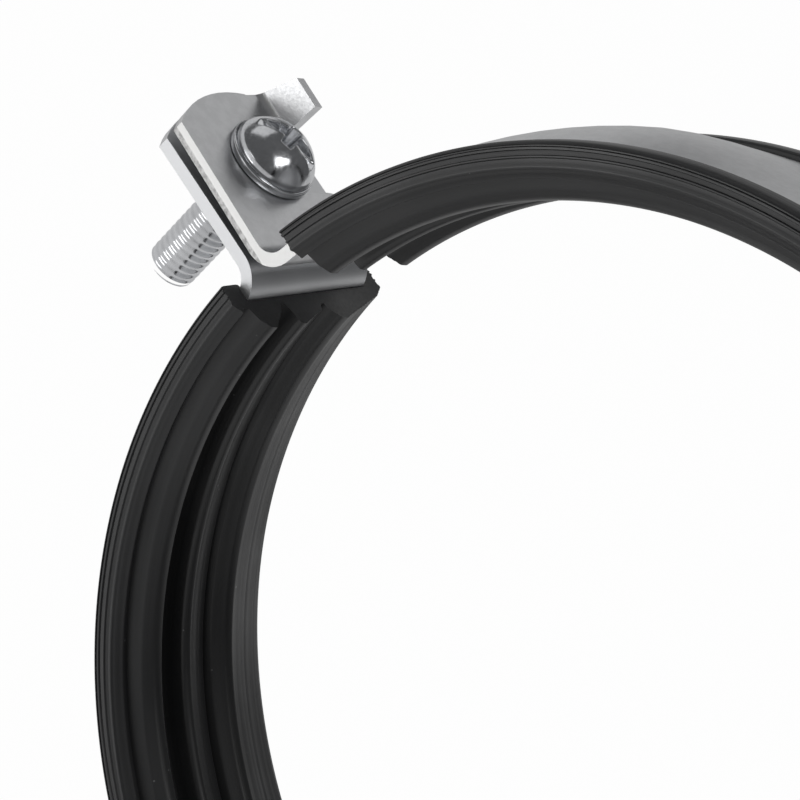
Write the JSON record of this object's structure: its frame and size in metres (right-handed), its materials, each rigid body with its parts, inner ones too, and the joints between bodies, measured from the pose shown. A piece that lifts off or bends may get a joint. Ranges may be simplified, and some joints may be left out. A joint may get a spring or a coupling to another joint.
{
  "type": "rubber lined pipe clamp",
  "caption": "Two-part strip steel pipe clamp with a ribbed rubber lining, a quick-lock screw ear, a pivot screw ear and a welded connection nut.",
  "frame": {"origin": "centre of the pipe seat, on the plane where the two halves part and midway across the strip", "axes": "+Y along the pipe, +Z from the base half to the cap half, -X to the quick-lock ear; the connection nut points down -Z"},
  "size_m": [0.1654, 0.0258, 0.1332],
  "materials": {
    "strip_steel": "bright zinc plated strip, sheared edges",
    "lining_rubber": "matt black extruded rubber",
    "screw_steel": "bright zinc plated, glossy",
    "nut_steel": "zinc plated"
  },
  "bodies": {
    "base": {"base_shell": "strip_steel", "base_lining": "lining_rubber", "connection_nut": "nut_steel"},
    "cap": {"cap_shell": "strip_steel", "cap_lining": "lining_rubber"},
    "lock_screw": {"lock_screw": "screw_steel"},
    "pivot_screw": {"pivot_screw": "screw_steel"}
  },
  "joints": [
    {"name": "cap_lift", "type": "slide", "parent": "base", "child": "cap", "axis": [0, 0, 1], "range_m": [0, 0.04]},
    {"name": "lock_screw_travel", "type": "slide", "parent": "cap", "child": "lock_screw", "axis": [0, 0, 1], "range_m": [0, 0.024]},
    {"name": "pivot_screw_travel", "type": "slide", "parent": "cap", "child": "pivot_screw", "axis": [0, 0, 1], "range_m": [0, 0.024]}
  ]
}
